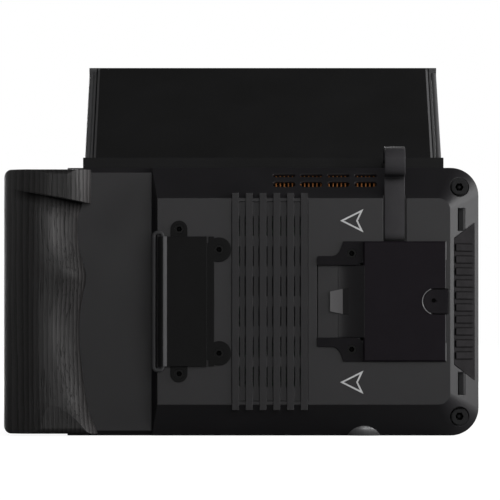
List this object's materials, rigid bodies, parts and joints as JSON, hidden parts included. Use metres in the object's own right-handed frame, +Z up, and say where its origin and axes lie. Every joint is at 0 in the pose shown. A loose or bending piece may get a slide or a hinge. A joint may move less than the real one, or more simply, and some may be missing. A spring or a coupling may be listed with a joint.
{
  "type": "camera field monitor",
  "caption": "Camera field monitor with a wood hand grip, ribbed rear vent, accessory plate, swinging strap bail, flat ribbon lead and a folding sun hood with side flaps.",
  "frame": {"origin": "mouth of the tripod thread in the bottom face", "axes": "+Z up, +Y out of the screen, -Y out of the ribbed rear, +X away from the hand grip"},
  "size_m": [0.1988, 0.15, 0.159],
  "materials": {
    "shell": "fine-textured dark grey moulding",
    "bezel": "fine-textured charcoal moulding",
    "thread_metal": "turned brass",
    "grip_wood": "dark oiled wood, straight grain",
    "steel": "plain steel",
    "strap_sheet": "black powder-coated sheet",
    "dark_screws": "blackened steel",
    "bail_wire": "blackened steel wire",
    "fork_sheet": "grey coated sheet",
    "plate_metal": "black anodised",
    "tongue_steel": "brushed steel",
    "latch_plastic": "satin black",
    "ribbon_jacket": "flat ribbon jacket",
    "soft_rubber": "soft black rubber",
    "pad_rubber": "ribbed rubber",
    "case_screws": "dark socket screws",
    "screen_glass": "coated cover glass",
    "display": "display, off",
    "board": "circuit board",
    "copper": "bare copper",
    "blower_plastic": "black moulding",
    "rotor_plastic": "black moulding",
    "socket_metal": "plated socket shell",
    "button_plastic": "satin moulded button",
    "record_plastic": "red moulded button",
    "dial_metal": "black anodised, knurled",
    "hood_plastic": "matt black sheet"
  },
  "bodies": {
    "monitor": {"rear_shell": "shell", "vent_grille": "shell", "front_bezel": "bezel", "tripod_insert": "thread_metal", "wood_grip": "grip_wood", "grip_bolts": "steel", "strap_plate": "strap_sheet", "strap_plate_screws": "dark_screws", "fork_bracket": "fork_sheet", "bracket_screws": "dark_screws", "accessory_plate": "plate_metal", "ramp_tongue": "tongue_steel", "ribbon": "ribbon_jacket", "ribbon_gland": "soft_rubber", "side_grip_pad": "pad_rubber", "corner_screws": "case_screws", "cover_glass": "screen_glass", "screen_gasket": "soft_rubber", "lcd_panel": "display", "main_board": "board", "board_screws": "steel", "heat_sink": "copper", "blower_housing": "blower_plastic", "signal_socket": "socket_metal", "usb_socket": "socket_metal", "key_switches": "board", "dial_shaft": "steel", "hood_base": "hood_plastic", "hood_hinge_pin": "steel"},
    "strap_bail": {"strap_bail": "bail_wire"},
    "release_latch": {"release_latch": "latch_plastic"},
    "hood": {"hood_panel": "hood_plastic", "flap_hinge_pins": "steel"},
    "left_flap": {"hood_left_flap": "hood_plastic"},
    "right_flap": {"hood_right_flap": "hood_plastic"},
    "menu_dial": {"menu_dial": "dial_metal"},
    "record_button": {"record_button": "record_plastic"},
    "power_button": {"power_button": "button_plastic"},
    "function_button_upper": {"function_button_upper": "button_plastic"},
    "function_button_lower": {"function_button_lower": "button_plastic"},
    "blower_rotor": {"blower_rotor": "rotor_plastic"}
  },
  "joints": [
    {"name": "hood_fold", "type": "hinge", "parent": "monitor", "child": "hood", "pos_m": [0, 0.023, 0.1096], "axis": [1, 0, 0], "range_deg": [-121, 0]},
    {"name": "left_flap_fold", "type": "hinge", "parent": "hood", "child": "left_flap", "pos_m": [-0.11675, 0.02398, 0.10803], "axis": [0, 0.848, 0.5299], "range_deg": [-90, 0]},
    {"name": "right_flap_fold", "type": "hinge", "parent": "hood", "child": "right_flap", "pos_m": [0.03275, 0.02398, 0.10803], "axis": [0, 0.848, 0.5299], "range_deg": [0, 90]},
    {"name": "strap_bail_swing", "type": "hinge", "parent": "monitor", "child": "strap_bail", "pos_m": [-0.084, -0.01892, 0.056], "axis": [0, 0, 1], "range_deg": [0, 150]},
    {"name": "release_latch_press", "type": "slide", "parent": "monitor", "child": "release_latch", "axis": [0, 1, 0], "range_m": [0, 0.0012], "stiffness_N_per_m": 700},
    {"name": "power_button_press", "type": "slide", "parent": "monitor", "child": "power_button", "axis": [0, -1, 0], "range_m": [0, 0.0006], "stiffness_N_per_m": 600},
    {"name": "function_button_upper_press", "type": "slide", "parent": "monitor", "child": "function_button_upper", "axis": [0, -1, 0], "range_m": [0, 0.0006], "stiffness_N_per_m": 600},
    {"name": "function_button_lower_press", "type": "slide", "parent": "monitor", "child": "function_button_lower", "axis": [0, -1, 0], "range_m": [0, 0.0006], "stiffness_N_per_m": 600},
    {"name": "record_button_press", "type": "slide", "parent": "monitor", "child": "record_button", "axis": [0, -1, 0], "range_m": [0, 0.0006], "stiffness_N_per_m": 600},
    {"name": "menu_dial_turn", "type": "hinge", "parent": "monitor", "child": "menu_dial", "pos_m": [-0.137, 0.019, 0.084], "axis": [0, 1, 0], "continuous": true},
    {"name": "blower_spin", "type": "hinge", "parent": "monitor", "child": "blower_rotor", "pos_m": [-0.03, -0.004, 0.06], "axis": [0, 1, 0], "continuous": true}
  ],
  "couplings": [
    {"joint": "left_flap_fold", "follows": "hood_fold", "ratio": 0.74},
    {"joint": "right_flap_fold", "follows": "hood_fold", "ratio": -0.74}
  ]
}
